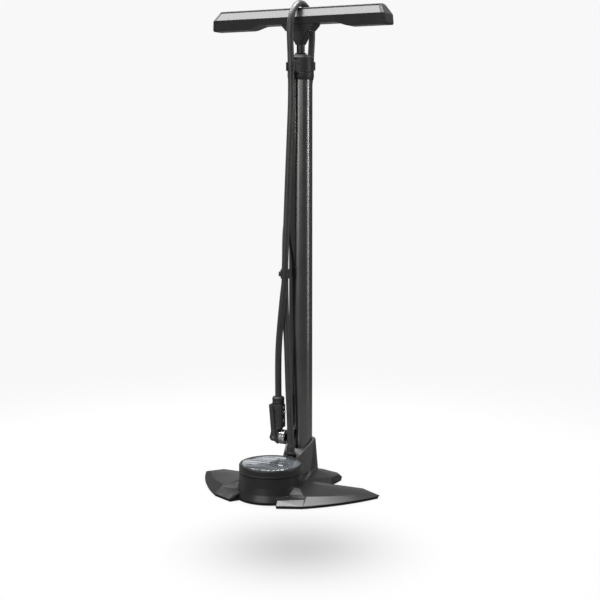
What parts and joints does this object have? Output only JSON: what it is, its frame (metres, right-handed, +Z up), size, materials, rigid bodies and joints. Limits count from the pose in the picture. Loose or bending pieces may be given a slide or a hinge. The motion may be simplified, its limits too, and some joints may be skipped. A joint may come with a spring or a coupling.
{
  "type": "floor bike pump",
  "caption": "Upright floor pump: winged base with dial gauge, slim barrel, T-handle on a piston rod, and a hose looped over the handle ending in a lever-locked pump head.",
  "frame": {"origin": "middle of the object's foot print at floor level, between the nose of the base and the back of the hose loop", "axes": "+Z up along the barrel, +X along the handle to the right, -Y towards the gauge and the nose of the base"},
  "size_m": [0.282, 0.1842, 0.6947],
  "materials": {
    "base_nylon": "satin black glass-filled nylon, finely textured",
    "pad_rubber": "matte black rubber sole",
    "plain_steel": "plain zinc-plated steel",
    "barrel_anodised": "satin dark grey anodised tube",
    "moulding": "black moulded plastic",
    "seal_rubber": "black nitrile rubber",
    "brass": "machined brass",
    "handle_satin": "satin dark grey, smooth bevelled faces",
    "handle_end": "matte black end cap",
    "rod_dark": "dark ground steel tube",
    "dial_print": "printed gauge dial with plain numerals",
    "needle_paint": "orange-red pointer",
    "gauge_glass": "clear domed lens",
    "bezel": "satin black bezel ring",
    "hose_rubber": "smooth black rubber hose with a soft sheen",
    "chuck_moulding": "textured black plastic",
    "polished_ring": "polished bare metal"
  },
  "bodies": {
    "pump_body": {"base_casting": "base_nylon", "foot_pad_nose": "pad_rubber", "foot_pad_right": "pad_rubber", "foot_pad_left": "pad_rubber", "foot_pad_rear": "pad_rubber", "foot_screw_nose": "plain_steel", "foot_screw_right": "plain_steel", "foot_screw_left": "plain_steel", "foot_screw_rear": "plain_steel", "barrel_tube": "barrel_anodised", "barrel_foot": "moulding", "barrel_foot_ring": "seal_rubber", "piston_buffer": "seal_rubber", "check_valve_spring": "plain_steel", "top_cap": "moulding", "rod_bushing": "moulding", "rod_wiper": "seal_rubber", "hose_clip_front": "moulding", "hose_clip_rear": "moulding", "gauge_cup": "moulding", "gauge_movement": "brass", "bourdon_tube": "brass", "gauge_dial": "dial_print", "dial_screw_1": "plain_steel", "dial_screw_2": "plain_steel", "lens_spacer": "moulding", "gauge_lens": "gauge_glass", "gauge_bezel": "bezel", "hose_port_fitting": "brass", "hose_ferrule": "moulding", "hose_riser": "hose_rubber", "hose_loop": "hose_rubber", "hose_drop": "hose_rubber", "hose_mid_clip": "moulding", "chuck_collar": "chuck_moulding", "chuck_body": "chuck_moulding", "lever_pin": "plain_steel", "nozzle_ring": "polished_ring", "nozzle_gland": "seal_rubber", "chuck_screw_1": "plain_steel", "chuck_screw_2": "plain_steel"},
    "piston": {"piston_head": "moulding", "piston_seal": "seal_rubber"},
    "handle": {"piston_rod": "rod_dark", "rod_nut": "plain_steel", "rod_collar": "plain_steel", "handle_hub": "moulding", "handle_bar": "handle_satin", "handle_end_right": "handle_end", "handle_end_left": "handle_end", "handle_bolt_1": "plain_steel", "handle_bolt_2": "plain_steel"},
    "lever": {"chuck_lever": "chuck_moulding"},
    "plunger": {"chuck_plunger": "moulding"},
    "bleed": {"bleed_button": "polished_ring"},
    "needle": {"gauge_needle": "needle_paint"},
    "valve": {"check_valve_poppet": "brass"}
  },
  "joints": [
    {"name": "handle_slide", "type": "slide", "parent": "pump_body", "child": "piston", "axis": [0, 0, 1], "range_m": [0, 0.5], "deforming": ["hose_loop"]},
    {"name": "handle_swivel", "type": "hinge", "parent": "piston", "child": "handle", "pos_m": [0, 0.05214, 0.05], "axis": [0, 0, 1], "range_deg": [-20, 20]},
    {"name": "lever_turn", "type": "hinge", "parent": "pump_body", "child": "lever", "pos_m": [-0.0239, 0.02094, 0.0705], "axis": [0, -1, 0], "range_deg": [0, 100]},
    {"name": "plunger_slide", "type": "slide", "parent": "pump_body", "child": "plunger", "axis": [1, 0, 0], "range_m": [0, 0.0012]},
    {"name": "bleed_press", "type": "slide", "parent": "pump_body", "child": "bleed", "axis": [-1, 0, 0], "range_m": [0, 0.0012], "stiffness_N_per_m": 400, "springref_m": -0.001},
    {"name": "needle_turn", "type": "hinge", "parent": "pump_body", "child": "needle", "pos_m": [0, -0.03846, 0.034], "axis": [0, 0, -1], "range_deg": [0, 270], "stiffness_Nm_per_rad": 0.0005, "springref_deg": -2.86},
    {"name": "valve_lift", "type": "slide", "parent": "pump_body", "child": "valve", "axis": [0, 0, -1], "range_m": [0, 0.0025], "stiffness_N_per_m": 80, "springref_m": -0.003, "deforming": ["check_valve_spring"]}
  ],
  "couplings": [
    {"joint": "plunger_slide", "follows": "lever_turn", "m_per_rad": 0.00068755}
  ]
}
